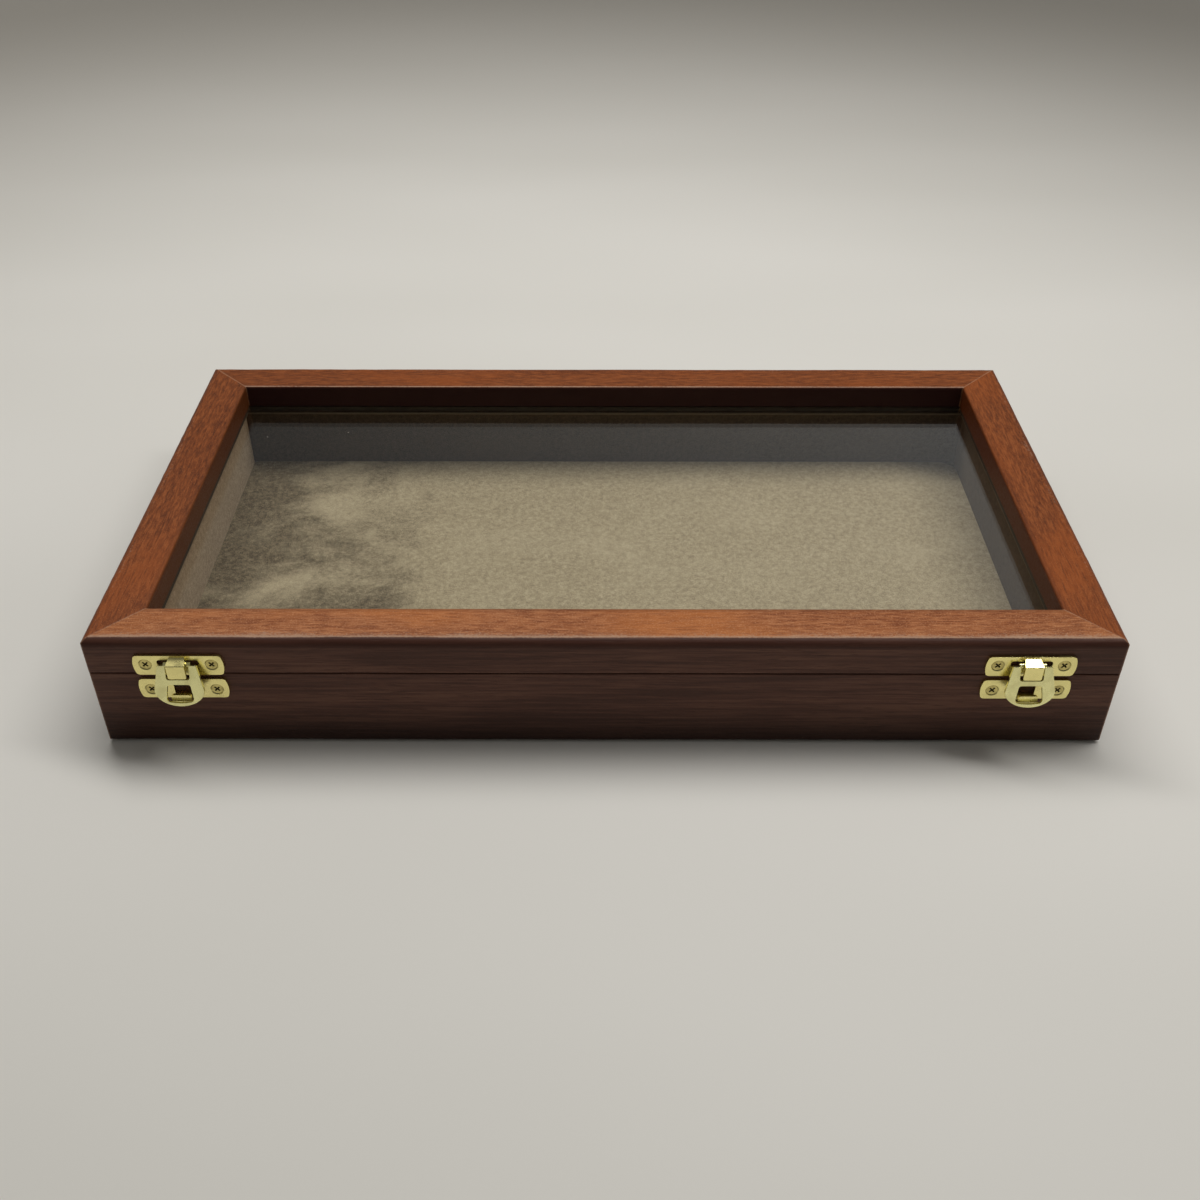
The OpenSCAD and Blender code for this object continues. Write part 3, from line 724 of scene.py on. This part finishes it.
def studio():
    """A pale bowl: a flat floor that curves up into a low wall.

    The outline is a straight line to the start of the curve, a quarter round, and a short
    upright, turned about the case's own axis.
    """
    flat_r, curve_r, wall_top = 900.0, 350.0, 600.0
    turn = np.radians(np.linspace(0, 90, 17))
    radii = np.concatenate([np.linspace(0, flat_r, 10)[1:], flat_r + curve_r * np.sin(turn[1:]),
                            [flat_r + curve_r]])
    heights = np.concatenate([np.zeros(9), curve_r * (1 - np.cos(turn[1:])), [wall_top]]) - 0.1
    angles = np.linspace(0, 2 * np.pi, 97)[:-1]
    x = radii[:, None] * np.cos(angles)
    y = radii[:, None] * np.sin(angles)
    z = np.broadcast_to(heights[:, None], x.shape)
    points = np.concatenate([[[0, 0, -0.1]], np.stack([x, y, z], -1).reshape(-1, 3)])
    rings, around = x.shape
    i, j = np.meshgrid(np.arange(rings - 1), np.arange(around), indexing="ij")
    k = (j + 1) % around
    walls = 1 + np.stack([i * around + j, (i + 1) * around + j, (i + 1) * around + k, i * around + k], -1)
    hub = np.stack([np.zeros(around, int), 1 + np.arange(around), 1 + (np.arange(around) + 1) % around], -1)
    finish = Finish("pale_paper", **{"Roughness": 0.9, "Specular IOR Level": 0.2})
    cloud = finish.noise((2, 5, 2), detail=2, rough=0.5)
    near = finish.ramp(cloud, (0.3, paint(219, 217, 210)), (0.7, paint(228, 226, 220)))
    place = finish.split()
    flat_place = finish.add("ShaderNodeCombineXYZ", {"X": place["X"], "Y": place["Y"]})
    far = finish.add("ShaderNodeVectorMath", {0: flat_place.outputs[0]}, operation="LENGTH")
    finish.set(finish.shader, {"Base Color": finish.mix(
        finish.between(far.outputs["Value"], 0.26, 0.9), near, paint(172, 168, 160))})
    floor = piece("studio_floor", points, [*walls.reshape(-1, 4), *hub], finish.material, None)


def lamp(name, place, target, width, height, power, colour):
    light = bpy.data.lights.new(name, "AREA")
    light.shape, light.size, light.size_y = "RECTANGLE", width, height
    light.energy, light.color = power, colour
    shown = bpy.data.objects.new(name, light)
    shown.visible_camera = False
    bpy.context.scene.collection.objects.link(shown)
    shown.location = place
    way = np.array(target) - np.array(place)
    yaw = math.atan2(way[0], -way[1])
    fall = math.atan2(math.hypot(way[0], way[1]), -way[2])
    shown.rotation_euler = (fall, 0, yaw + math.pi)


def set_lamps():
    """A long lamp high up and a little behind, and a dim room that is lighter on the right."""
    lamp("key", (0.1, 0.22, 0.94), (0, 0, 0.02), 1.4, 0.18, 8.2, (1.0, 0.985, 0.965))
    world = bpy.data.worlds.new("room")
    bpy.context.scene.world = world
    world.use_nodes = True
    tree = world.node_tree
    towards = tree.nodes.new("ShaderNodeVectorMath")
    towards.operation = "DOT_PRODUCT"
    bright = np.array([0.75, 0.45, 0.5])
    towards.inputs[1].default_value = (bright / np.linalg.norm(bright)).tolist()
    way = tree.nodes.new("ShaderNodeTexCoord")
    tree.links.new(way.outputs["Generated"], towards.inputs[0])
    level = tree.nodes.new("ShaderNodeMapRange")
    level.interpolation_type = "SMOOTHSTEP"
    for key, value in {"From Min": 0.35, "From Max": 1.0, "To Min": 0.12, "To Max": 0.42}.items():
        level.inputs[key].default_value = value
    tree.links.new(towards.outputs["Value"], level.inputs["Value"])
    sky = tree.nodes["Background"]
    sky.inputs["Color"].default_value = (1.0, 0.99, 0.97, 1)
    tree.links.new(level.outputs["Result"], sky.inputs["Strength"])


def set_camera():
    """Stands the camera where the photograph was taken from: 277 mm up and 369 mm in front."""
    data = bpy.data.cameras.new("camera")
    data.sensor_width, data.lens = 36.0, 39.17
    shown = bpy.data.objects.new("camera", data)
    bpy.context.scene.collection.objects.link(shown)
    pitch, yaw, roll = 0.659926, -0.001687, -0.000397
    ahead = np.array([math.sin(yaw) * math.cos(pitch), math.cos(yaw) * math.cos(pitch), -math.sin(pitch)])
    right = np.array([math.cos(yaw), -math.sin(yaw), 0.0])
    down = np.cross(ahead, right)
    right, down = (math.cos(roll) * right + math.sin(roll) * down,
                   -math.sin(roll) * right + math.cos(roll) * down)
    matrix = np.eye(4)
    matrix[:3, 0], matrix[:3, 1], matrix[:3, 2] = right, -down, -ahead
    matrix[:3, 3] = (-0.000847, -0.368730, 0.276636)
    shown.matrix_world = Matrix(matrix.tolist())
    bpy.context.scene.camera = shown


studio()
set_lamps()
set_camera()
bpy.context.scene.view_settings.view_transform = "Standard"
